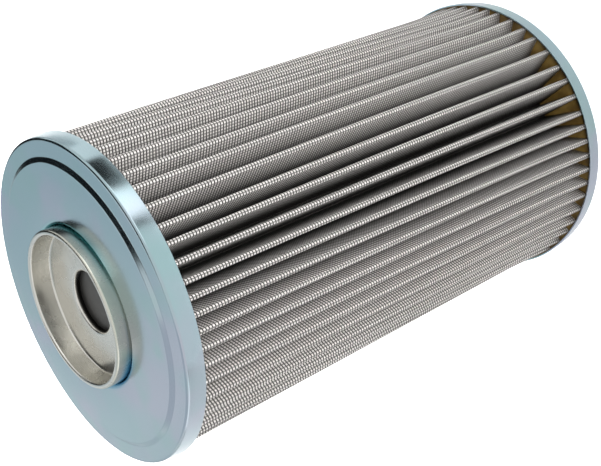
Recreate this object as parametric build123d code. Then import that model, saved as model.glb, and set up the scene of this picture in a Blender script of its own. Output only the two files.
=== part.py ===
from build123d import *
from math import acos, cos, degrees, pi, radians, sin
import os

# Pleated filter element of a hydraulic return line, standing on its open end cap.
# The part's axis is Z, its base lies at Z = 0 and the closed cap with the bypass valve is on top.
# All lengths are in millimetres.

# ---- whole element ----
element_length = 263.4        # from ring face to ring face
cap_radius = 75.0             # outside of both caps at the skirt's edge

# ---- end caps, pressed from one sheet each ----
cap_sheet = 0.8
cap_depth = 8.6               # from the skirt's edge to the ring face
cap_draft = 0.7               # how much the skirt narrows towards the ring face
cap_bend = 1.5                # outside radius between skirt and ring
ring_width = 8.1              # flat outer ring, from the skirt's face edge to the step
step_slope = 2.1              # width of the sloping wall inside it
step_bend = 1.1
plateau_rise = 1.3            # closed cap: the middle stands this far out
neck_depth = 5.0              # closed cap: length of the neck that holds the valve cup
neck_bend = 2.4
recess_depth = 3.0            # open cap: the middle lies this far in
outlet_inset = 5.4            # open cap: from inside the centre tube to the sheet's edge

# ---- adhesive that holds the pack in the caps ----
potting_below_edge = 1.2      # from the skirt's edge down to the adhesive

# ---- pleats ----
pleat_count = 55
crest_clearance = 1.5         # from the crests to the inside of the skirts
root_clearance = 0.6          # from the centre tube to the roots
media_thickness = 1.0
fold_gap = 0.5                # between the two legs of a fold
pleat_wander = 0.25           # unevenness of the spacing, as a share of one pitch
pleat_phase = 2.4             # turn of the first crest, in degrees

# ---- seam clip over one crest ----
clip_crest = 32               # the crest that the clip closes, counted from the first
clip_sheet = 0.5
clip_reach = 7.5              # how far its legs reach down the flanks
clip_fit = 0.05

# ---- perforated centre tube ----
core_radius = 47.4
core_sheet = 1.0
core_hole_radius = 6.0
core_holes_round = 8
core_hole_rows = 6
core_margin = 24.0            # from the tube's ends to the first row of holes

# ---- valve cup ----
cup_sheet = 1.2
collar_radius = 36.3          # outside of the hemmed collar
collar_rise = 6.1             # lip above the plateau
hem_width = 2.5               # both legs of the hem together
lip_flat = 0.03               # keeps the lip's two rounds apart
hem_depth = 8.6               # from the lip to the end of the outer leg
cup_depth = 10.2              # from the lip to the floor
cup_corner = 1.2
neck_fit = 0.05
valve_hole_radius = 14.2
valve_hole_bend = 1.3
seat_depth = 3.2              # from the floor to the seat at the end of the turned-in edge

# ---- bypass valve ----
disc_overlap = 1.8            # how far the disc reaches past the seat
disc_thickness = 2.0
disc_edge = 0.4
stem_radius = 3.0
stem_fit = 0.06
stem_overhang = 4.0           # stem past the bridge
stem_point = 0.8
spring_room = 20.0            # from the disc to the bridge
spring_radius = 9.0
spring_wire_radius = 0.8
spring_wire_sides = 6
spring_turns = 4.0
spring_fit = 0.02
bridge_sheet = 1.5
bridge_width = 14.0
bridge_foot = 6.0             # length of the feet under the cup's floor
bridge_inset = 1.3            # from the cup's wall to the feet's ends
bridge_bend = 2.6
foot_bend = 0.6

# ---- rubber grommet in the outlet ----
grommet_wall = 3.5            # rubber inside the sheet's edge
grommet_lip = 2.0             # rubber above and below the sheet
grommet_cover = 3.5           # how far its lips reach over the sheet
grommet_edge = 0.9
grommet_fit = 0.02

# ---- radii worked out from the sizes above ----
face_radius = cap_radius - cap_draft
step_foot_radius = face_radius - ring_width
step_radius = step_foot_radius - step_slope
crest_radius = cap_radius - cap_sheet - crest_clearance
root_radius = core_radius + root_clearance
outlet_edge_radius = core_radius - core_sheet - outlet_inset
grommet_bore_radius = outlet_edge_radius - grommet_wall
cup_radius = collar_radius - hem_width
bridge_leg_radius = cup_radius - bridge_inset - bridge_foot - bridge_sheet

# ---- levels worked out from the sizes above ----
plateau_level = element_length + plateau_rise
lip_level = plateau_level + collar_rise
floor_level = lip_level - cup_depth
seat_level = floor_level - seat_depth
bridge_top = seat_level - disc_thickness - spring_room
pack_bottom = cap_depth - potting_below_edge
pack_top = element_length - cap_depth + potting_below_edge
fold_mid_radius = (fold_gap + media_thickness) / 2


SEATED = (Align.CENTER, Align.CENTER, Align.MIN)


def turned(outline):
    """Solid of revolution about Z from an outline of (radius, height) points or edges."""
    return revolve(Plane.XZ * make_face(outline), Axis.Z)


def pressed_sheet(points, bends):
    """Revolved sheet: its outer line runs through the points and its wall lies to the left."""
    line = FilletPolyline(*points, radius=bends)
    return revolve(Plane.XZ * make_face(offset(line, amount=cap_sheet, side=Side.LEFT)), Axis.Z)


def closed_cap_line():
    """Points and bend radii of the closed cap's outside, from the skirt's edge to the neck."""
    neck_radius = collar_radius + neck_fit
    points = [
        (cap_radius, element_length - cap_depth),
        (face_radius, element_length),
        (step_foot_radius, element_length),
        (step_radius, plateau_level),
        (neck_radius, plateau_level),
        (neck_radius, plateau_level - neck_depth),
    ]
    return points, [cap_bend, step_bend, step_bend, neck_bend]


def open_cap_line():
    """Points and bend radii of the open cap's outside, from the outlet to the skirt's edge."""
    points = [
        (outlet_edge_radius, recess_depth),
        (step_radius, recess_depth),
        (step_foot_radius, 0),
        (face_radius, 0),
        (cap_radius, cap_depth),
    ]
    return points, [step_bend, step_bend, cap_bend]


def potting(line, cap, level_from, level_to):
    """Ring of adhesive inside a cap, from its sheet to its free surface."""
    points, bends = line
    axis_points = [(0, points[-1][1]), (0, points[0][1])]
    corners = [0, *bends, 0, 0, 0]
    filled = turned(FilletPolyline(*points, *axis_points, radius=corners, close=True))
    ring = Pos(0, 0, level_from) * Cylinder(cap_radius, level_to - level_from, align=SEATED)
    bore = Pos(0, 0, level_from) * Cylinder(core_radius, level_to - level_from, align=SEATED)
    return (filled & (ring - bore)) - cap


def valve_cup():
    """Drawn cup: hemmed collar, floor, and a hole whose edge is turned in to make the seat."""
    hem_end = lip_level - hem_depth
    under_floor = floor_level - cup_sheet
    seat_outside = valve_hole_radius + cup_sheet
    lip_round = hem_width / 2 - lip_flat
    corners = [
        (collar_radius, hem_end, 0),
        (collar_radius, lip_level, lip_round),
        (cup_radius, lip_level, lip_round),
        (cup_radius, floor_level, cup_corner),
        (valve_hole_radius, floor_level, valve_hole_bend),
        (valve_hole_radius, seat_level, 0),
        (seat_outside, seat_level, 0),
        (seat_outside, under_floor, 0),
        (cup_radius + cup_sheet, under_floor, cup_corner + cup_sheet),
        (cup_radius + cup_sheet, hem_end, 0),
    ]
    points = [(radius, level) for radius, level, bend in corners]
    bends = [bend for radius, level, bend in corners]
    return turned(FilletPolyline(*points, radius=bends, close=True))


def valve_disc():
    """Flat disc that closes the hole from inside."""
    radius = valve_hole_radius + cup_sheet + disc_overlap
    disc = Pos(0, 0, seat_level - disc_thickness) * Cylinder(radius, disc_thickness, align=SEATED)
    return chamfer(disc.edges(), disc_edge)


def valve_stem():
    """Guide stem under the disc, pointed at its free end."""
    length = spring_room + bridge_sheet + stem_overhang
    top = seat_level - disc_thickness
    stem = Pos(0, 0, top - length) * Cylinder(stem_radius, length, align=SEATED)
    return chamfer(stem.edges().sort_by(Axis.Z)[0], stem_point)


def valve_spring():
    """Open coil between the bridge and the disc."""
    rise = spring_room - 2 * (spring_wire_radius + spring_fit)
    start = bridge_top + spring_wire_radius + spring_fit
    coil = Pos(0, 0, start) * Helix(rise / spring_turns, rise, spring_radius)
    section = Plane(coil @ 0, z_dir=coil % 0) * RegularPolygon(spring_wire_radius, spring_wire_sides)
    return sweep(section, path=coil, is_frenet=True)


def valve_bridge():
    """Strap with two legs and feet: it carries the spring and guides the stem."""
    foot_level = floor_level - cup_sheet
    leg = bridge_leg_radius + bridge_sheet
    half = [
        (leg + bridge_foot, foot_level - bridge_sheet),
        (leg, foot_level - bridge_sheet),
        (leg, bridge_top - bridge_sheet),
    ]
    points = half + [(-across, level) for across, level in reversed(half)]
    line = FilletPolyline(*points, radius=[foot_bend, bridge_bend, bridge_bend, foot_bend])
    strip = make_face(offset(line, amount=bridge_sheet, side=Side.RIGHT))
    strap = extrude(Plane.XZ * strip, amount=bridge_width / 2, both=True)
    hole = Pos(0, 0, bridge_top - bridge_sheet) * Cylinder(stem_radius + stem_fit, bridge_sheet, align=SEATED)
    return strap - hole


def fold_angle(number):
    """Angle of a fold, in degrees; even numbers are crests and odd numbers are roots."""
    pitch = 360 / pleat_count
    place = number / 2
    wave = 2 * pi * place / pleat_count
    unevenness = sin(4 * wave + 2.9) + 0.2 * sin(16 * wave) + 0.15 * sin(19 * wave - 2.9)
    return pleat_phase + pitch * (place + pleat_wander * unevenness)


def fold_centre(number):
    """Centre of the round part of a crest or a root."""
    inset = fold_mid_radius + media_thickness / 2
    distance = root_radius + inset if number % 2 else crest_radius - inset
    angle = radians(fold_angle(number))
    return Vector(distance * cos(angle), distance * sin(angle))


def flank(number, shift):
    """Ends of the straight flank from one fold to the next, for a surface shifted outwards."""
    start = fold_centre(number)
    end = fold_centre(number + 1)
    along = end - start
    turn = degrees(acos(2 * fold_mid_radius / along.length))
    side = 1 if number % 2 else -1
    normal = along.normalized().rotate(Axis.Z, side * turn)
    start_radius = fold_mid_radius - side * shift
    end_radius = fold_mid_radius + side * shift
    return start + normal * start_radius, end - normal * end_radius


def fold_round(number, shift):
    """Outside of a fold as an arc, or its narrow inside as a flat, between two flanks."""
    side = 1 if number % 2 else -1
    radius = fold_mid_radius - side * shift
    before = flank(number - 1, shift)[1]
    after = flank(number, shift)[0]
    if radius < fold_mid_radius:
        return Line(before, after)
    centre = fold_centre(number)
    return ThreePointArc(before, centre - centre.normalized() * (side * radius), after)


def pleat_surface(shift):
    """Closed line of one face of the folded pack."""
    edges = []
    for number in range(2 * pleat_count):
        edges.append(fold_round(number, shift))
        edges.append(Line(*flank(number, shift)))
    return make_face(edges)


def pleat_pack():
    """The folded pack, one wall of constant thickness."""
    section = pleat_surface(media_thickness / 2) - pleat_surface(-media_thickness / 2)
    return Pos(0, 0, pack_bottom) * extrude(section, pack_top - pack_bottom)


def seam_clip():
    """Channel clipped over one crest, following its flanks."""
    inner_shift = media_thickness / 2 + clip_fit
    outer_shift = inner_shift + clip_sheet
    number = 2 * clip_crest
    outlines = []
    for shift in (inner_shift, outer_shift):
        foot, shoulder = flank(number - 1, shift)
        far_shoulder, far_foot = flank(number, shift)
        leg = (foot - shoulder).normalized() * clip_reach
        far_leg = (far_foot - far_shoulder).normalized() * clip_reach
        outlines.append((shoulder + leg, shoulder, far_shoulder, far_shoulder + far_leg))
    inner, outer = outlines
    section = make_face([
        Line(outer[0], outer[1]), fold_round(number, outer_shift), Line(outer[2], outer[3]),
        Line(outer[3], inner[3]), Line(inner[3], inner[2]), fold_round(number, inner_shift),
        Line(inner[1], inner[0]), Line(inner[0], outer[0]),
    ])
    return Pos(0, 0, pack_bottom) * extrude(section, pack_top - pack_bottom)


def core_tube():
    """Centre tube between the caps, with rows of round holes."""
    bottom = recess_depth + cap_sheet
    length = plateau_level - cap_sheet - bottom
    tube = Cylinder(core_radius, length, align=SEATED)
    tube -= Cylinder(core_radius - core_sheet, length, align=SEATED)
    row_pitch = (length - 2 * core_margin) / (core_hole_rows - 1)
    punch = Cylinder(core_hole_radius, core_radius, rotation=(0, 90, 0), align=SEATED)
    punches = []
    for row in range(core_hole_rows):
        stagger = row % 2 / 2
        for place in range(core_holes_round):
            angle = 360 * (place + stagger) / core_holes_round
            punches.append(Pos(0, 0, core_margin + row * row_pitch) * Rot(0, 0, angle) * punch)
    return Pos(0, 0, bottom) * (tube - punches)


def outlet_grommet():
    """Rubber ring of U section, seated on the edge of the outlet."""
    outside = outlet_edge_radius + grommet_cover
    bottom = recess_depth - grommet_lip
    top = recess_depth + cap_sheet + grommet_lip
    groove = outlet_edge_radius - grommet_fit
    groove_bottom = recess_depth - grommet_fit
    groove_top = recess_depth + cap_sheet + grommet_fit
    corners = [
        (grommet_bore_radius, bottom, grommet_edge),
        (outside, bottom, grommet_edge),
        (outside, groove_bottom, 0),
        (groove, groove_bottom, 0),
        (groove, groove_top, 0),
        (outside, groove_top, 0),
        (outside, top, grommet_edge),
        (grommet_bore_radius, top, grommet_edge),
    ]
    points = [(radius, level) for radius, level, edge in corners]
    edges = [edge for radius, level, edge in corners]
    return turned(FilletPolyline(*points, radius=edges, close=True))


def build():
    """All pieces by name."""
    closed_cap = pressed_sheet(*closed_cap_line())
    open_cap = pressed_sheet(*open_cap_line())
    return {
        "closed_end_cap": closed_cap,
        "open_end_cap": open_cap,
        "potting_closed_end": potting(closed_cap_line(), closed_cap, pack_top, plateau_level),
        "potting_open_end": potting(open_cap_line(), open_cap, 0, pack_bottom),
        "pleat_pack": pleat_pack(),
        "seam_clip": seam_clip(),
        "core_tube": core_tube(),
        "valve_cup": valve_cup(),
        "valve_disc": valve_disc(),
        "valve_stem": valve_stem(),
        "valve_spring": valve_spring(),
        "valve_bridge": valve_bridge(),
        "outlet_grommet": outlet_grommet(),
    }


os.makedirs("parts", exist_ok=True)
for name, piece in build().items():
    export_step(piece, f"parts/{name}.step")
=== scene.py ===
"""Finish, studio and camera for a pleated hydraulic filter element.

The element stands on its open end cap, with its axis along Z and the valve cup on top.
Run as a script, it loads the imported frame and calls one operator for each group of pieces.
"""

from math import cos, pi, radians, sin, tan

import bmesh
import bpy
from mathutils import Matrix, Vector


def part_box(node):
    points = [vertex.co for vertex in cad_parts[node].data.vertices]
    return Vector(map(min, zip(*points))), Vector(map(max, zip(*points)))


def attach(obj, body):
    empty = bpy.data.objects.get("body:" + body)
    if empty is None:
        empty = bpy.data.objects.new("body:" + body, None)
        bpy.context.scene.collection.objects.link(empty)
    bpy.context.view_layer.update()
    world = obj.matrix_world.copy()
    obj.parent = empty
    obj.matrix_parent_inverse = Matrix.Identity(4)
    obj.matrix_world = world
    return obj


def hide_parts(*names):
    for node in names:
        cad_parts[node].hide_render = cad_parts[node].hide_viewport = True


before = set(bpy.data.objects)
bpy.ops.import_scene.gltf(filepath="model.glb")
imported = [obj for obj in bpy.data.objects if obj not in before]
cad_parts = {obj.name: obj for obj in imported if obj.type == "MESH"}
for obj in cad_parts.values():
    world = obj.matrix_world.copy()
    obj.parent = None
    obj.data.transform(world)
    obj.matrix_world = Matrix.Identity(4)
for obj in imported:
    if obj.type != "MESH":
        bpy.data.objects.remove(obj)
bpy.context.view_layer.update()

bl_info = {
    "name": "Pleated Filter Element",
    "version": (1, 0, 0),
    "blender": (4, 5, 0),
    "location": "3D View > Sidebar > Filter Element",
    "description": "Builds the end caps, pleats, valve and studio of a pleated filter element",
    "category": "Add Mesh",
}

MM = 0.001
TURN = 2 * pi
OPEN_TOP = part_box("open_end_cap")[1].z         # skirt's edge of the open cap
CLOSED_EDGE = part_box("closed_end_cap")[0].z    # skirt's edge of the closed cap
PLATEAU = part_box("closed_end_cap")[1].z        # top of the closed cap's sheet
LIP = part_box("valve_cup")[1].z                 # top of the collar
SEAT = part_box("valve_disc")[1].z               # where the disc meets the cup
PACK_LOW, PACK_HIGH = (corner.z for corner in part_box("pleat_pack"))
CAP_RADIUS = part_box("open_end_cap")[1].x
COLLAR_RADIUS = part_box("valve_cup")[1].x
SHARP = radians(50)                            # edges over this angle are sharp
MERGE = 1e-7                                   # vertices nearer than this become one
CUT_EDGE = 0.18                                # rounding of a sheet's cut edge, per thickness
FLOOR_GAP = 0.2 * MM                           # keeps the floor clear of the element's base

# Unevenness of the folds' spacing: waves round the pack, phase in radians, and height.
SPACING_WAVES = ((4, 2.9, 1.0), (16, 0.0, 0.2), (19, -2.9, 0.15))

# Lean of the folds along the pack, per unit of sway, by the height from -1 to 1.
LEAN_WAVES = 3                                 # waves of the lean round the pack
LEAN_PHASE = 1.9                               # in radians
LEAN_STILL = -0.5                              # height at which these waves are flat
LEAN_TWIST = (-0.36, 0.57, -0.47)              # constant, linear and square share of the twist


# ---------------------------------------------------------------- settings

def length(name, description, millimetres):
    """Length property with its default in millimetres."""
    return bpy.props.FloatProperty(
        name=name, description=description, default=millimetres * MM, unit="LENGTH", precision=5)


def angle(name, description, degrees_):
    """Angle property with its default in degrees."""
    return bpy.props.FloatProperty(
        name=name, description=description, default=radians(degrees_), unit="ROTATION", precision=5)


def share(name, description, value):
    """Plain number between 0 and 1."""
    return bpy.props.FloatProperty(
        name=name, description=description, default=value, min=0, max=1, subtype="FACTOR")


def count(name, description, value):
    """Whole number of segments or repeats."""
    return bpy.props.IntProperty(name=name, description=description, default=value, min=1)


def colour(name, description, value):
    """Linear colour."""
    return bpy.props.FloatVectorProperty(
        name=name, description=description, default=value, size=3, min=0, max=1, subtype="COLOR")


class CapSettings(bpy.types.PropertyGroup):
    """Pressed end caps."""
    sheet: length("Sheet", "Thickness of the pressed sheet", 0.8)
    draft: length("Draft", "How much the skirt narrows towards the face", 0.7)
    bend: length("Face bend", "Radius between skirt and face", 1.5)
    ring: length("Ring width", "Flat ring outside the step", 8.1)
    slope: length("Step slope", "Width of the sloping wall inside the ring", 2.1)
    step_bend: length("Step bend", "Radius at both ends of the slope", 1.1)
    rise: length("Plateau rise", "Height of the closed cap's middle above its ring", 1.3)
    recess: length("Recess", "Depth of the open cap's middle behind its ring", 3.0)
    neck_bend: length("Neck bend", "Radius where the plateau turns into the neck", 2.4)
    neck: length("Neck depth", "Length of the neck round the valve cup", 5.0)
    neck_fit: length("Neck fit", "Clearance between the neck and the cup", 0.05)
    outlet: length("Outlet edge", "Radius of the sheet's edge in the open cap", 41.0)
    steps: count("Steps", "Segments round the caps", 192)
    plate: colour("Zinc plate", "Pale blue passivated zinc", (0.37, 0.485, 0.52))
    lilac: colour("Lilac bloom", "Reddish side of the zinc's iridescence", (0.43, 0.465, 0.535))
    green: colour("Green bloom", "Greenish side of the zinc's iridescence", (0.355, 0.49, 0.50))
    # Painted reflections, not stains: the neck's teal and blue stand in for what its curve reflects
    # on either side.
    neck_teal_reflection: colour("Neck teal", "Stain on one side of the neck", (0.17, 0.42, 0.43))
    neck_blue_reflection: colour("Neck blue", "Stain on the other side of the neck", (0.20, 0.44, 0.58))


class PleatSettings(bpy.types.PropertyGroup):
    """Folded wire-mesh pack."""
    pleats: count("Pleats", "Number of folds round the pack", 55)
    clearance: length("Crest clearance", "From the crests to the inside of the skirts", 1.5)
    root: length("Root radius", "Inside radius of the roots", 48.0)
    media: length("Media", "Thickness of the media with its mesh", 1.0)
    gap: length("Fold gap", "Between the two legs of a fold", 0.5)
    wander: share("Wander", "Unevenness of the spacing, as a share of one pitch", 0.25)
    phase: angle("Phase", "Turn of the first crest", 2.4)
    sway: angle("Sway", "How far the crests drift along their length", 0.98)
    flare: length("Flare", "How far the folds spread where they enter the open cap", 1.1)
    flare_run: share("Flare run", "Share of the pack's half length over which they spread", 0.2)
    seam: count("Seam", "Fold that the seam clip holds straight", 32)
    rows: count("Rows", "Rows of vertices along the pleats", 26)
    arc: count("Fold segments", "Segments over each fold", 7)
    wire: length("Wire pitch", "Distance between the mesh's wires", 1.5)
    cover: share("Wire cover", "Share of the surface that the wires of one direction hide", 0.25)
    lengthwise: share("Lengthwise wires", "How much the wires along the pleats stand out", 0.7)
    # Painted highlight: the knuckles' lighter tone stands in for light catching the tops of the
    # wires.
    knuckle_highlight: colour("Wire knuckles", "Wire where it passes over another", (0.07, 0.066, 0.062))
    wire_dark: colour("Wire", "Steel wire and its shadow on the media", (0.012, 0.011, 0.010))
    media_colour: colour("Media", "Pale media behind the mesh", (0.765, 0.74, 0.715))
    media_dark: colour("Media shade", "Media where it is pressed down", (0.65, 0.625, 0.60))
    root_shade: colour("Root shade", "Media deep in the folds", (0.031, 0.032, 0.029))
    shade_from: length("Shade from", "Radius inside which the media is darkest", 54.0)
    shade_to: length("Shade to", "Radius outside which the media is clean", 73.5)


class CupSettings(bpy.types.PropertyGroup):
    """Drawn valve cup."""
    sheet: length("Sheet", "Thickness of the cup's sheet", 1.2)
    hem: length("Hem width", "Both legs of the collar's hem together", 2.5)
    hem_depth: length("Hem depth", "From the lip to the end of the outer leg", 8.6)
    depth: length("Depth", "From the lip to the floor", 10.2)
    corner: length("Corner", "Radius between wall and floor", 1.2)
    hole: length("Valve hole", "Radius of the hole in the floor", 14.2)
    hole_bend: length("Hole bend", "Radius of the turned-in edge", 1.3)
    tin: colour("Tinned steel", "Warm silver of the cup", (0.64, 0.63, 0.585))
    smudge: colour("Smudge", "Darker handling marks", (0.52, 0.505, 0.46))
    # Painted shade in the valve hole's throat, not oil: it darkens the lower part of the turned-in
    # edge.
    throat_shade: colour("Throat", "Oily edge of the valve hole", (0.03, 0.03, 0.028))
    olive: colour("Collar", "Drawn outside of the collar", (0.56, 0.565, 0.50))


class ValveSettings(bpy.types.PropertyGroup):
    """Bypass valve under the cup."""
    edge: length("Disc edge", "Chamfer of the valve disc", 0.4)
    disc: colour("Disc", "Phosphated steel", (0.10, 0.095, 0.09))
    spring: colour("Spring", "Oiled spring wire", (0.20, 0.20, 0.205))


class InsideSettings(bpy.types.PropertyGroup):
    """Centre tube, adhesive and grommet."""
    amber: colour("Adhesive", "Cured amber adhesive", (0.215, 0.14, 0.038))
    amber_dark: colour("Deep adhesive", "Adhesive in the deeper places", (0.10, 0.06, 0.015))
    tube: colour("Centre tube", "Galvanised sheet", (0.36, 0.37, 0.38))
    rubber: colour("Rubber", "Moulded black rubber", (0.018, 0.018, 0.019))


class StageSettings(bpy.types.PropertyGroup):
    """Floor, light and camera."""
    azimuth: angle("Azimuth", "Direction of the camera from +X", 27.024)
    elevation: angle("Elevation", "Height of the camera over the horizon", 34.447)
    roll: angle("Roll", "Turn of the camera about its own axis", -113.732)
    distance: length("Distance", "From the camera to the point that it looks at", 527.72)
    aim: bpy.props.FloatVectorProperty(
        name="Aim", description="Point that the camera looks at",
        default=(0.00408, -0.00799, 0.14591), size=3, unit="LENGTH")
    lens: bpy.props.FloatProperty(
        name="Lens", description="Focal length in millimetres", default=64.46)
    floor: colour("Floor", "Pale floor", (0.86, 0.86, 0.86))
    floor_lift: share("Floor lift", "White added to the floor where it is seen", 0.78)
    floor_shine: share("Floor shine", "White added to the floor where it is reflected", 0.2)
    floor_size: bpy.props.FloatProperty(
        name="Floor size", description="Side of the floor", default=14.0, unit="LENGTH")
    ambient: share("Ambient", "Strength of the light from all round", 0.12)


# ---------------------------------------------------------------- mesh helpers

def outline(points, bends, closed=False, segments=6):
    """Line through (radius, height) points in the XZ plane, with each inner corner rounded."""
    bm = bmesh.new()
    verts = [bm.verts.new((radius, 0, height)) for radius, height in points]
    edges = list(zip(verts, verts[1:]))
    if closed:
        edges.append((verts[-1], verts[0]))
    for pair in edges:
        bm.edges.new(pair)
    for vert, bend in zip(verts, bends):
        if bend:
            before, after = (edge.other_vert(vert).co - vert.co for edge in vert.link_edges)
            run = bend * tan((pi - before.angle(after)) / 2)
            bmesh.ops.bevel(bm, geom=[vert], offset=run, offset_type="OFFSET", segments=segments,
                            profile=0.5, affect="VERTICES", material=-1)
    return bm


def spin(bm, steps):
    """Full turn of everything in the bmesh about Z."""
    bmesh.ops.spin(bm, geom=bm.verts[:] + bm.edges[:], cent=(0, 0, 0), axis=(0, 0, 1),
                   angle=TURN, steps=steps, use_merge=True)
    bmesh.ops.remove_doubles(bm, verts=bm.verts, dist=MERGE)
    bmesh.ops.recalc_face_normals(bm, faces=bm.faces)


def face_up(bm):
    """Turns an open surface so that its widest flat looks up."""
    flat = max(bm.faces, key=lambda face: abs(face.normal.z) * face.calc_area())
    if flat.normal.z < 0:
        bmesh.ops.reverse_faces(bm, faces=bm.faces)


def piece(name, bm, material, body, *nodes, slot=None):
    """Object from a bmesh, riding on its body and standing for CAD nodes."""
    for face in bm.faces:
        face.smooth = True
    mesh = bpy.data.meshes.new(name)
    bm.to_mesh(mesh)
    bm.free()
    mesh.set_sharp_from_angle(angle=SHARP)
    made = bpy.data.objects.new(name, mesh)
    bpy.context.scene.collection.objects.link(made)
    made.data.materials.append(material)
    if nodes:
        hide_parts(*nodes)
    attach(made, body)
    return made


def thicken(made, thickness):
    """Gives a surface its wall, inwards, and takes the sharpness off its cut edges."""
    wall = made.modifiers.new("wall", "SOLIDIFY")
    wall.thickness = thickness
    wall.offset = -1
    wall.use_even_offset = True
    soften(made, thickness * CUT_EDGE)


def soften(made, width):
    """Small rounding of every sharp edge."""
    edge = made.modifiers.new("edge", "BEVEL")
    edge.width = width
    edge.segments = 2
    edge.limit_method = "ANGLE"
    edge.angle_limit = SHARP
    edge.harden_normals = True


def dress(node, material):
    """Gives a CAD node its finish."""
    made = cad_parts[node]
    made.data.materials.clear()
    made.data.materials.append(material)


# ---------------------------------------------------------------- material helpers

class Nodes:
    """Short hand for building one material's nodes."""

    def __init__(self, name):
        self.material = bpy.data.materials.new(name)
        self.material.use_nodes = True
        self.tree = self.material.node_tree
        self.shader = self.tree.nodes["Principled BSDF"]

    def add(self, kind, **settings):
        """New node; settings are its properties."""
        made = self.tree.nodes.new(kind)
        for name, value in settings.items():
            setattr(made, name, value)
        return made

    def join(self, value, socket):
        """Links a socket, or sets a plain value."""
        if isinstance(value, bpy.types.NodeSocket):
            self.tree.links.new(value, socket)
        else:
            socket.default_value = value

    def math(self, operation, *values):
        """Math node on numbers or sockets."""
        made = self.add("ShaderNodeMath", operation=operation)
        for value, socket in zip(values, made.inputs):
            self.join(value, socket)
        return made.outputs[0]

    def noise(self, coordinates, scale, detail=3.0, roughness=0.5):
        """Noise between 0 and 1."""
        made = self.add("ShaderNodeTexNoise")
        self.join(coordinates, made.inputs["Vector"])
        made.inputs["Scale"].default_value = scale
        made.inputs["Detail"].default_value = detail
        made.inputs["Roughness"].default_value = roughness
        return made.outputs["Fac"]

    def place(self, scale=(1, 1, 1), location=(0, 0, 0)):
        """Object coordinates through a Mapping node."""
        source = self.add("ShaderNodeTexCoord")
        mapping = self.add("ShaderNodeMapping")
        self.join(source.outputs["Object"], mapping.inputs["Vector"])
        mapping.inputs["Scale"].default_value = scale
        mapping.inputs["Location"].default_value = location
        return mapping.outputs["Vector"]

    def radius(self):
        """Distance from the element's axis."""
        made = self.add("ShaderNodeVectorMath", operation="LENGTH")
        self.join(self.place(scale=(1, 1, 0)), made.inputs[0])
        return made.outputs["Value"]

    def ramp(self, value, low, high, to_low=0.0, to_high=1.0):
        """Smooth step from one range to another."""
        made = self.add("ShaderNodeMapRange", interpolation_type="SMOOTHSTEP")
        for source, socket in zip((value, low, high, to_low, to_high), made.inputs):
            self.join(source, socket)
        return made.outputs[0]

    def mix(self, factor, first, second):
        """Mix of two colours."""
        made = self.add("ShaderNodeMix", data_type="RGBA")
        self.join(factor, made.inputs["Factor"])
        for value, socket in ((first, made.inputs[6]), (second, made.inputs[7])):
            if not isinstance(value, bpy.types.NodeSocket):
                value = (*value, 1.0)
            self.join(value, socket)
        return made.outputs[2]

    def bump(self, height, strength, distance):
        """Bump into the shader's normal."""
        made = self.add("ShaderNodeBump")
        made.inputs["Strength"].default_value = strength
        made.inputs["Distance"].default_value = distance
        self.join(height, made.inputs["Height"])
        self.join(made.outputs["Normal"], self.shader.inputs["Normal"])

    def finish(self, base, roughness, metallic=0.0, **plain):
        """Sets the shader's main sockets; the plain ones are constants."""
        if not isinstance(base, bpy.types.NodeSocket):
            base = (*base, 1.0)
        self.join(base, self.shader.inputs["Base Color"])
        self.join(roughness, self.shader.inputs["Roughness"])
        self.shader.inputs["Metallic"].default_value = metallic
        for name, value in plain.items():
            self.shader.inputs[name.replace("_", " ")].default_value = value
        return self.material


def painted_neck_reflection(nodes, caps, base, amount):
    """Painted reflection: teal on one side of the neck and deep blue on the other."""
    split = nodes.add("ShaderNodeSeparateXYZ")
    nodes.join(nodes.place(), split.inputs[0])
    side = split.outputs["Y"]
    teal = nodes.math("MULTIPLY", amount, nodes.ramp(side, 14 * MM, 34 * MM))
    blue = nodes.math("MULTIPLY", amount, nodes.ramp(side, -8 * MM, -22 * MM))
    return nodes.mix(blue, nodes.mix(teal, base, caps.neck_teal_reflection), caps.neck_blue_reflection)


def zinc_plate(caps):
    """Blue passivated zinc: lilac and green bloom, a painted reflection round the neck, faint
    clouding and fine scuffs.
    """
    nodes = Nodes("blue_zinc")
    place = nodes.place()
    bloom = nodes.ramp(nodes.noise(place, 22, 2), 0.44, 0.66)
    tinge = nodes.ramp(nodes.noise(nodes.place(location=(3, 1, 2)), 30, 2), 0.48, 0.70)
    base = nodes.mix(bloom, caps.plate, caps.lilac)
    base = nodes.mix(tinge, base, caps.green)
    # Painted reflection: teal and blue near the neck, fading out over 3.5 mm from the collar.
    neck_reflection_mask = nodes.ramp(nodes.radius(), COLLAR_RADIUS, COLLAR_RADIUS + 3.5 * MM, 1.0, 0.0)
    base = painted_neck_reflection(nodes, caps, base, neck_reflection_mask)
    cloud = nodes.noise(place, 60, 4)
    roughness = nodes.ramp(cloud, 0.3, 0.7, 0.15, 0.21)
    nodes.bump(nodes.noise(place, 420, 3), 0.02, 0.0001)
    return nodes.finish(base, roughness, metallic=1.0)


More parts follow.
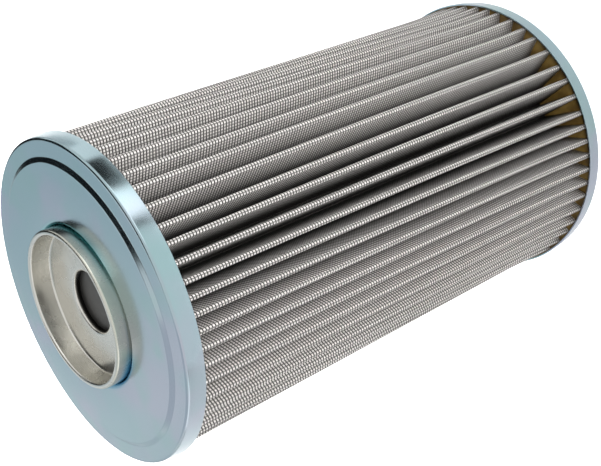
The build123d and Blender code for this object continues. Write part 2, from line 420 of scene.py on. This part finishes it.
def tinned_steel(cup, caps):
    """Warm silver with handling smudges and fine turning marks, a painted reflection of the neck on
    the collar's foot, and painted shade down in the valve hole.
    """
    nodes = Nodes("tinned_steel")
    place = nodes.place()
    smudge = nodes.ramp(nodes.noise(place, 60, 5, 0.6), 0.50, 0.74)
    base = nodes.mix(smudge, cup.tin, cup.smudge)
    split = nodes.add("ShaderNodeSeparateXYZ")
    nodes.join(place, split.inputs[0])
    outer = nodes.ramp(nodes.radius(), COLLAR_RADIUS - 1.2 * MM, COLLAR_RADIUS - 0.2 * MM)
    base = nodes.mix(outer, base, cup.olive)
    # Painted reflection of the neck, teal and blue, on the foot of the collar's outside.
    foot = nodes.ramp(split.outputs["Z"], PLATEAU - 0.5 * MM, PLATEAU + 4.5 * MM, 0.85, 0.0)
    base = painted_neck_reflection(nodes, caps, base, nodes.math("MULTIPLY", outer, foot))
    floor = LIP - cup.depth
    # Painted shade: the turned-in edge of the valve hole goes dark below the floor.
    hole_shade_reach = nodes.ramp(nodes.radius(), cup.hole + 0.9 * MM, cup.hole + 0.2 * MM)
    hole_shade_depth = nodes.ramp(split.outputs["Z"], floor - 0.9 * MM, floor - 2.0 * MM)
    base = nodes.mix(nodes.math("MULTIPLY", hole_shade_reach, hole_shade_depth), base, cup.throat_shade)
    roughness = nodes.ramp(nodes.noise(place, 110, 3), 0.3, 0.7, 0.20, 0.30)
    nodes.bump(nodes.noise(nodes.place(scale=(1, 1, 6)), 500, 2), 0.06, 0.0001)
    return nodes.finish(base, roughness, metallic=1.0)


def wire_mesh(pleats):
    """Woven wire over pale media, on the pack's own map: one unit of the map is one metre. The
    knuckles carry a painted highlight, and the media a painted shade deep in the folds.
    """
    nodes = Nodes("wire_mesh")
    split = nodes.add("ShaderNodeSeparateXYZ")
    nodes.join(nodes.add("ShaderNodeUVMap", uv_map="weave").outputs["UV"], split.inputs[0])
    along, up = split.outputs["X"], split.outputs["Y"]
    slants = (nodes.math("MULTIPLY_ADD", up, 0.012, along),
              nodes.math("MULTIPLY_ADD", along, 0.02, up))
    waves = [nodes.math("COSINE", nodes.math("MULTIPLY", slant, pi / pleats.wire))
             for slant in slants]
    wire_edge = 0.99 - 1.3 * pleats.cover
    wire_top = 1.0 - 0.2 * pleats.cover
    lengthwise, crosswise = (
        nodes.ramp(nodes.math("ABSOLUTE", wave), wire_edge, wire_top) for wave in waves)
    over = nodes.math("MULTIPLY", *waves)
    upper = nodes.math("MULTIPLY", lengthwise, nodes.math("MULTIPLY_ADD", over, 0.3, 0.7))
    lower = nodes.math("MULTIPLY", crosswise, nodes.math("MULTIPLY_ADD", over, -0.3, 0.7))
    wires = nodes.math("MAXIMUM", upper, lower)
    fleece = nodes.noise(nodes.place(), 900, 2)
    media = nodes.mix(nodes.ramp(fleece, 0.3, 0.7), pleats.media_dark, pleats.media_colour)
    # Painted highlight on the knuckle tops; the dark wire colour is the wire's own tone together
    # with its painted shadow on the media.
    steel = nodes.mix(nodes.ramp(wires, 0.80, 0.98), pleats.wire_dark, pleats.knuckle_highlight)
    depth = nodes.ramp(nodes.radius(), pleats.shade_from, pleats.shade_to)
    media = nodes.mix(depth, pleats.root_shade, media)
    cover = nodes.math("MAXIMUM", nodes.math("MULTIPLY", lengthwise, pleats.lengthwise), crosswise)
    base = nodes.mix(cover, media, steel)
    pillow = nodes.math("MULTIPLY", nodes.math("SUBTRACT", 1.0, nodes.math("ABSOLUTE", over)), 0.5)
    nodes.bump(nodes.math("MAXIMUM", wires, pillow), 0.6, 0.0003)
    return nodes.finish(base, 0.5, Specular_IOR_Level=0.12)


def adhesive(inside):
    """Amber adhesive, clouded, glossy where it ran."""
    nodes = Nodes("adhesive")
    place = nodes.place()
    clouding = nodes.ramp(nodes.noise(place, 130, 4), 0.35, 0.7)
    base = nodes.mix(clouding, inside.amber_dark, inside.amber)
    nodes.bump(nodes.noise(place, 160, 3), 0.5, 0.0006)
    return nodes.finish(base, 0.32, Coat_Weight=0.3)


def galvanised(inside):
    """Zinc spangle on the centre tube."""
    nodes = Nodes("galvanised")
    cells = nodes.add("ShaderNodeTexVoronoi")
    nodes.join(nodes.place(), cells.inputs["Vector"])
    cells.inputs["Scale"].default_value = 190
    grey = nodes.math("MULTIPLY", cells.outputs["Color"], 0.12)
    base = nodes.mix(grey, inside.tube, (0.8, 0.8, 0.8))
    return nodes.finish(base, 0.42, metallic=1.0)


def plain_steel(name, tone, roughness):
    """Dark steel with a slightly uneven surface."""
    nodes = Nodes(name)
    place = nodes.place()
    uneven = nodes.ramp(nodes.noise(place, 260, 4), 0.3, 0.7, 0.0, 0.25)
    base = nodes.mix(uneven, tone, tuple(0.55 * part for part in tone))
    nodes.bump(nodes.noise(place, 900, 2), 0.05, 0.0001)
    return nodes.finish(base, roughness, metallic=0.7)


def rubber(inside):
    """Moulded rubber with a dull bloom."""
    nodes = Nodes("rubber")
    place = nodes.place()
    dullness = nodes.ramp(nodes.noise(place, 220, 4), 0.4, 0.75)
    base = nodes.mix(dullness, inside.rubber, (0.05, 0.05, 0.052))
    nodes.bump(nodes.noise(place, 1500, 2), 0.15, 0.0001)
    return nodes.finish(base, 0.62)


# ---------------------------------------------------------------- operators

class CapsOperator(bpy.types.Operator):
    """Presses both end caps and plates them"""
    bl_idname = "filter_element.caps"
    bl_label = "End Caps"

    def execute(self, context):
        caps = context.scene.filter_caps
        finish = zinc_plate(caps)
        face = CAP_RADIUS - caps.draft
        foot = face - caps.ring
        top = PLATEAU - caps.rise
        neck = COLLAR_RADIUS + caps.neck_fit
        points = [
            (CAP_RADIUS, CLOSED_EDGE), (face, top), (foot, top), (foot - caps.slope, PLATEAU),
            (neck, PLATEAU), (neck, PLATEAU - caps.neck),
        ]
        bends = [0, caps.bend, caps.step_bend, caps.step_bend, caps.neck_bend, 0]
        bm = outline(points, bends)
        spin(bm, caps.steps)
        face_up(bm)
        made = piece("closed_cap_sheet", bm, finish, "element", "closed_end_cap", slot="plated_cap")
        thicken(made, caps.sheet)
        points = [
            (caps.outlet, caps.recess), (foot - caps.slope, caps.recess), (foot, 0), (face, 0),
            (CAP_RADIUS, OPEN_TOP),
        ]
        bm = outline(points, [0, caps.step_bend, caps.step_bend, caps.bend, 0])
        spin(bm, caps.steps)
        face_up(bm)
        bmesh.ops.reverse_faces(bm, faces=bm.faces)
        made = piece("open_cap_sheet", bm, finish, "element", "open_end_cap", slot="plated_cap")
        thicken(made, caps.sheet)
        return {"FINISHED"}


def fold_angle(pleats, number):
    """Angle of a fold: even numbers are crests and odd numbers are roots."""
    place = number / 2
    wave = TURN * place / pleats.pleats
    unevenness = sum(height * sin(waves * wave + phase) for waves, phase, height in SPACING_WAVES)
    return pleats.phase + TURN / pleats.pleats * (place + pleats.wander * unevenness)


def fold_line(pleats, crest):
    """Closed line of the pack's outer face: two corners at each fold, rounded by a vertex bevel."""
    bm = bmesh.new()
    halves = (pleats.gap / 2 + pleats.media, pleats.gap / 2)
    distances = (crest, pleats.root + pleats.media)
    corners = ([], [])
    ring = []
    for number in range(2 * pleats.pleats):
        turn = fold_angle(pleats, number)
        kind = number % 2
        for side in (-1, 1):
            spot = Vector((distances[kind], side * halves[kind], PACK_LOW))
            spot.rotate(Matrix.Rotation(turn, 3, "Z"))
            ring.append(bm.verts.new(spot))
            corners[kind].append(ring[-1])
    for pair in zip(ring, ring[1:] + ring[:1]):
        bm.edges.new(pair)
    for verts, half in zip(corners, halves):
        bmesh.ops.bevel(bm, geom=verts, offset=0.92 * half, offset_type="OFFSET",
                        segments=pleats.arc, profile=0.5, affect="VERTICES", material=-1)
    return bm


def unroll(bm):
    """Gives each vertex of the closed line its distance along it; returns the whole length too."""
    run = bm.verts.layers.float.new("run")
    vert = start = max(bm.verts, key=lambda each: each.co.x)
    edge = start.link_edges[0]
    total = 0
    while True:
        total += edge.calc_length()
        vert = edge.other_vert(vert)
        if vert is start:
            return run, total
        vert[run] = total
        edge = next(each for each in vert.link_edges if each is not edge)


class PleatsOperator(bpy.types.Operator):
    """Folds the wire-mesh pack and maps the weave onto it"""
    bl_idname = "filter_element.pleats"
    bl_label = "Pleats"

    def execute(self, context):
        pleats = context.scene.filter_pleats
        crest = CAP_RADIUS - context.scene.filter_caps.sheet - pleats.clearance
        bm = fold_line(pleats, crest)
        run, total = unroll(bm)
        rise = Vector((0, 0, (PACK_HIGH - PACK_LOW) / pleats.rows))
        edges = bm.edges[:]
        for row in range(pleats.rows):
            made = bmesh.ops.extrude_edge_only(bm, edges=edges)["geom"]
            edges = [part for part in made if isinstance(part, bmesh.types.BMEdge)]
            verts = [part for part in made if isinstance(part, bmesh.types.BMVert)]
            bmesh.ops.translate(bm, verts=verts, vec=rise)
        bmesh.ops.recalc_face_normals(bm, faces=bm.faces)
        widest = max(bm.faces, key=lambda face: face.calc_center_median().xy.length)
        if widest.normal.dot(widest.calc_center_median()) < 0:
            bmesh.ops.reverse_faces(bm, faces=bm.faces)
        weave = bm.loops.layers.uv.new("weave")
        for face in bm.faces:
            wraps = max(loop.vert[run] for loop in face.loops) > total / 2
            for loop in face.loops:
                along = loop.vert[run]
                loop[weave].uv = (total if wraps and along == 0 else along, loop.vert.co.z)
        self.drift(bm, pleats)
        finish = wire_mesh(pleats)
        pack = piece("wire_pleats", bm, finish, "element", "pleat_pack", slot="wire_mesh")
        wall = pack.modifiers.new("wall", "SOLIDIFY")
        wall.thickness = pleats.media
        wall.offset = -1
        return {"FINISHED"}

    def drift(self, bm, pleats):
        """Lets each fold lean a little sideways along its length, least at the seam's fold.

        Heights run from -1 at the open cap to 1 at the closed one. Three waves round the pack
        lie over one common twist, and the folds spread where they enter the open cap.
        """
        middle = (PACK_LOW + PACK_HIGH) / 2
        half = (PACK_HIGH - PACK_LOW) / 2
        seam = fold_angle(pleats, 2 * pleats.seam)
        for vert in bm.verts:
            around = vert.co.xy.angle_signed(Vector((1, 0)), 0)
            height = (vert.co.z - middle) / half
            waves = (height - LEAN_STILL) * sin(LEAN_WAVES * around + LEAN_PHASE)
            twist = sum(part * height ** power for power, part in enumerate(LEAN_TWIST))
            freedom = sin((around - seam) / 2) ** 2
            vert.co.rotate(Matrix.Rotation(pleats.sway * (waves + twist) * freedom, 3, "Z"))
            spread = max(0, -height - 1 + pleats.flare_run) / pleats.flare_run
            vert.co.xy *= 1 + pleats.flare * spread / CAP_RADIUS


class CupOperator(bpy.types.Operator):
    """Draws the valve cup with its hemmed collar and turned-in seat"""
    bl_idname = "filter_element.cup"
    bl_label = "Valve Cup"

    def execute(self, context):
        cup = context.scene.filter_cup
        caps = context.scene.filter_caps
        inside = COLLAR_RADIUS - cup.hem
        floor = LIP - cup.depth
        under = floor - cup.sheet
        hem_end = LIP - cup.hem_depth
        wall = inside + cup.sheet
        seat_outside = cup.hole + cup.sheet
        lip_bend = cup.hem / 2 - 0.03 * MM
        cut_edge = 0.2 * MM
        corners = [
            (COLLAR_RADIUS, hem_end, cut_edge),
            (COLLAR_RADIUS, LIP, lip_bend),
            (inside, LIP, lip_bend),
            (inside, floor, cup.corner),
            (cup.hole, floor, cup.hole_bend),
            (cup.hole, SEAT, cut_edge),
            (seat_outside, SEAT, cut_edge),
            (seat_outside, under, cut_edge / 2),
            (wall, under, cup.corner + cup.sheet),
            (wall, hem_end, 0),
        ]
        bm = outline([corner[:2] for corner in corners], [corner[2] for corner in corners],
                     closed=True, segments=8)
        spin(bm, caps.steps)
        finish = tinned_steel(cup, caps)
        piece("valve_cup_drawn", bm, finish, "element", "valve_cup", slot="tinned_steel")
        return {"FINISHED"}


class ValveOperator(bpy.types.Operator):
    """Finishes the disc, stem, spring and bridge of the bypass valve"""
    bl_idname = "filter_element.valve"
    bl_label = "Bypass Valve"

    def execute(self, context):
        valve = context.scene.filter_valve
        low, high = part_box("valve_disc")
        radius = high.x
        points = [(0, high.z), (radius, high.z), (radius, low.z), (0, low.z)]
        bm = outline(points, [0, valve.edge, valve.edge, 0], segments=3)
        spin(bm, context.scene.filter_caps.steps // 2)
        phosphate = plain_steel("phosphate", valve.disc, 0.42)
        piece("valve_disc_turned", bm, phosphate, "valve", "valve_disc", slot="dark_steel")
        spring = plain_steel("spring_wire", valve.spring, 0.35)
        for node in ("valve_spring", "valve_stem", "valve_bridge"):
            dress(node, spring)
        return {"FINISHED"}


class InsideOperator(bpy.types.Operator):
    """Pours the adhesive and finishes the centre tube, seam clip and grommet"""
    bl_idname = "filter_element.inside"
    bl_label = "Adhesive and Tube"

    def execute(self, context):
        inside = context.scene.filter_inside
        amber = adhesive(inside)
        for node in ("potting_closed_end", "potting_open_end"):
            dress(node, amber)
        zinc = galvanised(inside)
        for node in ("core_tube", "seam_clip"):
            dress(node, zinc)
        dress("outlet_grommet", rubber(inside))
        return {"FINISHED"}


def aimed(made, aim, direction, distance):
    """Puts an object at a distance in a direction from a point, and turns it to face that point."""
    way = Vector(direction).normalized()
    made.location = Vector(aim) + way * distance
    made.rotation_mode = "QUATERNION"
    made.rotation_quaternion = (-way).to_track_quat("-Z", "Y")
    bpy.context.scene.collection.objects.link(made)


# Lamps face the element's middle: name, direction, distance, width, depth, power, and whether
# the lamp shows in reflections.
LAMPS = (
    ("key", (0.42, 1.0, 0.15), 1.3, 1.0, 0.8, 2.6, True),
    ("fill", (0.50, -1.0, 0.15), 1.4, 1.0, 0.8, 1.5, True),
    ("front", (0.84, 0.36, 0.40), 1.5, 0.6, 0.6, 22.5, False),
    ("back", (-0.92, -0.30, 0.30), 1.5, 1.4, 1.0, 26, False),
    ("left", (-0.25, -0.95, 0.30), 1.5, 1.0, 1.0, 8, False),
    ("right", (-0.50, 0.85, 0.30), 1.5, 1.0, 1.0, 8, False),
)

NIGHT = (0.012, 0.014, 0.016)
BLACK = (0.02, 0.02, 0.02)
PALE = (0.68, 0.74, 0.78)

# Cards face the closed cap: name, direction, distance, width, depth, level, and the level that
# the card shades over to at its right, if any.
CARDS = (
    ("plateau_card", (-0.83, -0.40, 0.38), 1.2, 1.1, 0.9, (0.57, 0.665, 0.72),
     (0.84, 0.885, 0.915)),
    ("step_card", (-0.36, 0.26, 0.90), 1.2, 0.9, 0.9, NIGHT, None),
    ("step_side", (-0.80, 0.34, 0.48), 1.2, 0.75, 0.75, NIGHT, None),
    ("rim_card", (-0.98, 0.14, 0.14), 1.2, 0.6, 0.6, NIGHT, None),
    ("rim_fade", (-0.97, -0.19, -0.13), 1.2, 0.4, 0.35, (0.30, 0.32, 0.33), None),
    ("slope_card", (-0.12, -0.62, 0.77), 1.2, 1.3, 1.1, PALE, None),
    ("slope_low", (-0.67, -0.74, 0.03), 1.2, 0.9, 0.8, PALE, None),
    ("edge_light", (-0.64, -0.04, 0.77), 1.2, 0.12, 0.6, (1.8, 1.8, 1.8), None),
    ("low_card", (-0.85, -0.45, -0.22), 0.6, 0.7, 0.1, BLACK, None),
    ("skirt_sky", (-0.81, 0.45, -0.36), 0.8, 0.55, 0.5, (0.60, 0.64, 0.66), None),
    ("skirt_card", (-0.13, 0.94, -0.33), 0.8, 0.38, 0.5, BLACK, None),
    ("skirt_light", (0.29, 0.905, -0.315), 0.8, 0.25, 0.5, (2.2, 2.2, 2.2), None),
    ("skirt_shade", (0.93, 0.22, -0.30), 0.7, 1.5, 0.6, (0.95, 1.07, 1.04), None),
    ("skirt_edge", (0.50, 0.80, -0.31), 0.8, 0.08, 0.5, (0.15, 0.15, 0.15), None),
)


def softbox(name, aim, direction, distance, width, depth, power, shows):
    """Area lamp that faces the element."""
    lamp = bpy.data.lights.new(name, "AREA")
    lamp.energy = power
    lamp.shape = "RECTANGLE"
    lamp.size = width
    lamp.size_y = depth
    made = bpy.data.objects.new(name, lamp)
    made.visible_glossy = shows
    aimed(made, aim, direction, distance)


def card(name, aim, direction, distance, width, depth, level, right):
    """Grey, black or bright card that only shows in reflections; it may shade over to its right."""
    bm = bmesh.new()
    bmesh.ops.create_grid(bm, x_segments=1, y_segments=1, size=0.5)
    bmesh.ops.scale(bm, verts=bm.verts, vec=(width, depth, 1))
    mesh = bpy.data.meshes.new(name)
    bm.to_mesh(mesh)
    bm.free()
    made = bpy.data.objects.new(name, mesh)
    nodes = Nodes(name)
    emission = nodes.add("ShaderNodeEmission")
    emission.inputs["Color"].default_value = (*level, 1)
    if right:
        split = nodes.add("ShaderNodeSeparateXYZ")
        nodes.join(nodes.place(), split.inputs[0])
        across = nodes.ramp(split.outputs["X"], -0.2 * width, 0.2 * width)
        nodes.join(nodes.mix(across, level, right), emission.inputs["Color"])
    nodes.join(emission.outputs[0], nodes.tree.nodes["Material Output"].inputs["Surface"])
    mesh.materials.append(nodes.material)
    made.visible_camera = False
    made.visible_diffuse = False
    made.visible_shadow = False
    aimed(made, aim, direction, distance)


def seen_directly(tree):
    """Two sockets: 1 for camera rays, and 1 for glossy and transmission rays."""
    path = tree.nodes.new("ShaderNodeLightPath")
    either = tree.nodes.new("ShaderNodeMath")
    either.operation = "MAXIMUM"
    for name, socket in zip(("Is Glossy Ray", "Is Transmission Ray"), either.inputs):
        tree.links.new(path.outputs[name], socket)
    return path.outputs["Is Camera Ray"], either.outputs[0]


class StageOperator(bpy.types.Operator):
    """Lays the floor, sets the light and places the camera"""
    bl_idname = "filter_element.stage"
    bl_label = "Stage"

    def execute(self, context):
        stage = context.scene.filter_stage
        context.scene.view_settings.view_transform = "Standard"
        self.floor(stage)
        self.world(context, stage)
        self.lamps()
        self.camera(context, stage)
        return {"FINISHED"}

    def lamps(self):
        """Large soft lamps, and cards that give the plated faces something to reflect."""
        middle = (0, 0, 0.132)
        face = (0, 0, PLATEAU)
        for name, direction, distance, width, depth, power, shows in LAMPS:
            softbox(name, middle, direction, distance, width, depth, power, shows)
        for name, direction, distance, width, depth, level, right in CARDS:
            card(name, face, direction, distance, width, depth, level, right)

    def floor(self, stage):
        """Pale floor that keeps the shadow."""
        bm = bmesh.new()
        bmesh.ops.create_grid(bm, x_segments=1, y_segments=1, size=stage.floor_size / 2)
        bmesh.ops.translate(bm, verts=bm.verts, vec=(0, 0, -FLOOR_GAP))
        mesh = bpy.data.meshes.new("floor")
        bm.to_mesh(mesh)
        bm.free()
        made = bpy.data.objects.new("floor", mesh)
        bpy.context.scene.collection.objects.link(made)
        nodes = Nodes("pale_floor")
        nodes.shader.inputs["Emission Color"].default_value = (1, 1, 1, 1)
        camera, reflected = seen_directly(nodes.tree)
        lift = nodes.math("MULTIPLY_ADD", camera, stage.floor_lift,
                          nodes.math("MULTIPLY", reflected, stage.floor_shine))
        nodes.join(lift, nodes.shader.inputs["Emission Strength"])
        made.data.materials.append(nodes.finish(stage.floor, 0.9, Specular_IOR_Level=0.0))

    def world(self, context, stage):
        """White to the camera and in reflections, soft pale light otherwise."""
        world = bpy.data.worlds.new("studio")
        context.scene.world = world
        world.use_nodes = True
        tree = world.node_tree
        ambient = tree.nodes["Background"]
        ambient.inputs["Color"].default_value = (0.93, 0.96, 1.0, 1)
        ambient.inputs["Strength"].default_value = stage.ambient
        white = tree.nodes.new("ShaderNodeBackground")
        white.inputs["Color"].default_value = (1, 1, 1, 1)
        mix = tree.nodes.new("ShaderNodeMixShader")
        seen = tree.nodes.new("ShaderNodeMath")
        for source, socket in zip(seen_directly(tree), seen.inputs):
            tree.links.new(source, socket)
        tree.links.new(seen.outputs[0], mix.inputs["Fac"])
        tree.links.new(ambient.outputs[0], mix.inputs[1])
        tree.links.new(white.outputs[0], mix.inputs[2])
        tree.links.new(mix.outputs[0], tree.nodes["World Output"].inputs["Surface"])

    def camera(self, context, stage):
        """Camera from its direction, distance and roll."""
        data = bpy.data.cameras.new("camera")
        data.lens = stage.lens
        data.sensor_width = 36
        data.clip_start = 0.01
        made = bpy.data.objects.new("camera", data)
        context.scene.collection.objects.link(made)
        back = Vector((cos(stage.elevation) * cos(stage.azimuth),
                       cos(stage.elevation) * sin(stage.azimuth), sin(stage.elevation)))
        level = Vector((0, 0, 1)).cross(back).normalized()
        upright = back.cross(level)
        right = cos(stage.roll) * level + sin(stage.roll) * upright
        up = back.cross(right)
        made.matrix_world = Matrix((right, up, back)).transposed().to_4x4()
        made.location = Vector(stage.aim) + back * stage.distance
        context.scene.camera = made


OPERATORS = (
    CapsOperator, PleatsOperator, CupOperator, ValveOperator, InsideOperator, StageOperator,
)
SETTINGS = {
    "filter_caps": CapSettings, "filter_pleats": PleatSettings, "filter_cup": CupSettings,
    "filter_valve": ValveSettings, "filter_inside": InsideSettings, "filter_stage": StageSettings,
}


class FilterPanel(bpy.types.Panel):
    """Lists the operators in the order in which they are used"""
    bl_idname = "VIEW3D_PT_filter_element"
    bl_label = "Filter Element"
    bl_space_type = "VIEW_3D"
    bl_region_type = "UI"
    bl_category = "Filter Element"

    def draw(self, context):
        for operator in OPERATORS:
            self.layout.operator(operator.bl_idname)


def register():
    for kind in (*SETTINGS.values(), *OPERATORS, FilterPanel):
        bpy.utils.register_class(kind)
    for name, kind in SETTINGS.items():
        setattr(bpy.types.Scene, name, bpy.props.PointerProperty(type=kind))


def unregister():
    for name in SETTINGS:
        delattr(bpy.types.Scene, name)
    for kind in (FilterPanel, *reversed(OPERATORS), *reversed(SETTINGS.values())):
        bpy.utils.unregister_class(kind)


def main():
    """Builds everything in order."""
    register()
    bpy.ops.filter_element.caps()
    bpy.ops.filter_element.pleats()
    bpy.ops.filter_element.cup()
    bpy.ops.filter_element.valve()
    bpy.ops.filter_element.inside()
    bpy.ops.filter_element.stage()


if __name__ == "__main__":
    main()
